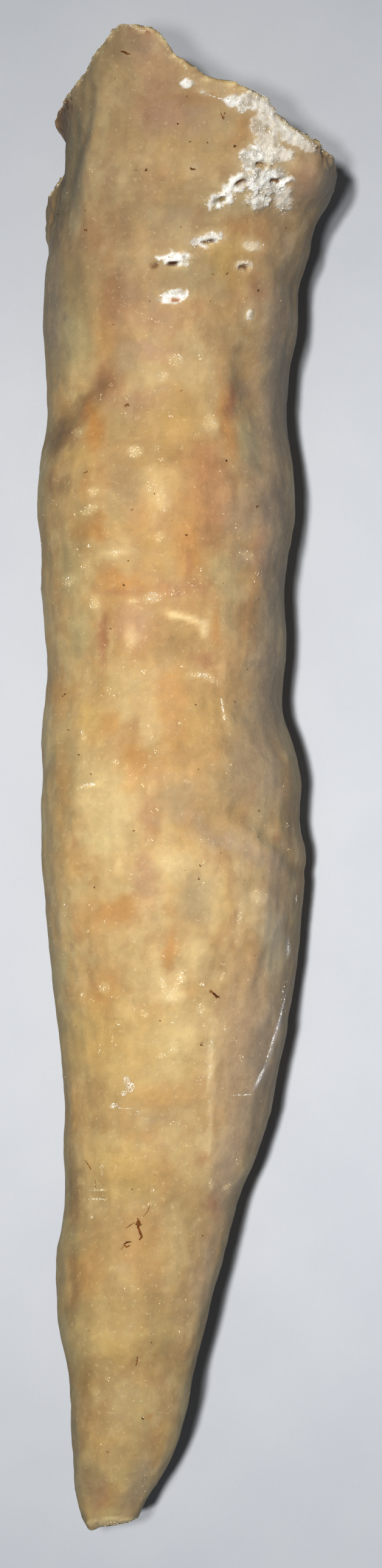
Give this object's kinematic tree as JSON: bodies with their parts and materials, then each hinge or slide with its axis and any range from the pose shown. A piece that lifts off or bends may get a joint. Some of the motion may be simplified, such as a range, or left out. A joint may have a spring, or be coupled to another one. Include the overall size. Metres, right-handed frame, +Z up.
{
  "type": "stalactite",
  "caption": "Tapering, rippled calcite dripstone, broken off at its wide root and at its narrow tip, lying on its side.",
  "frame": {"origin": "middle of the bounding box, on the plane that the stalactite lies on", "axes": "+Y along the stalactite towards its broken root, so the tip is at -Y; +Z up, away from the surface that it lies on; +X to the right with the root at the top of the view from above"},
  "size_m": [0.0458, 0.2268, 0.038],
  "materials": {
    "calcite": "waxy natural skin with chalky patches and fine sparkles"
  },
  "bodies": {
    "root": {"stalactite": "calcite"}
  },
  "joints": []
}
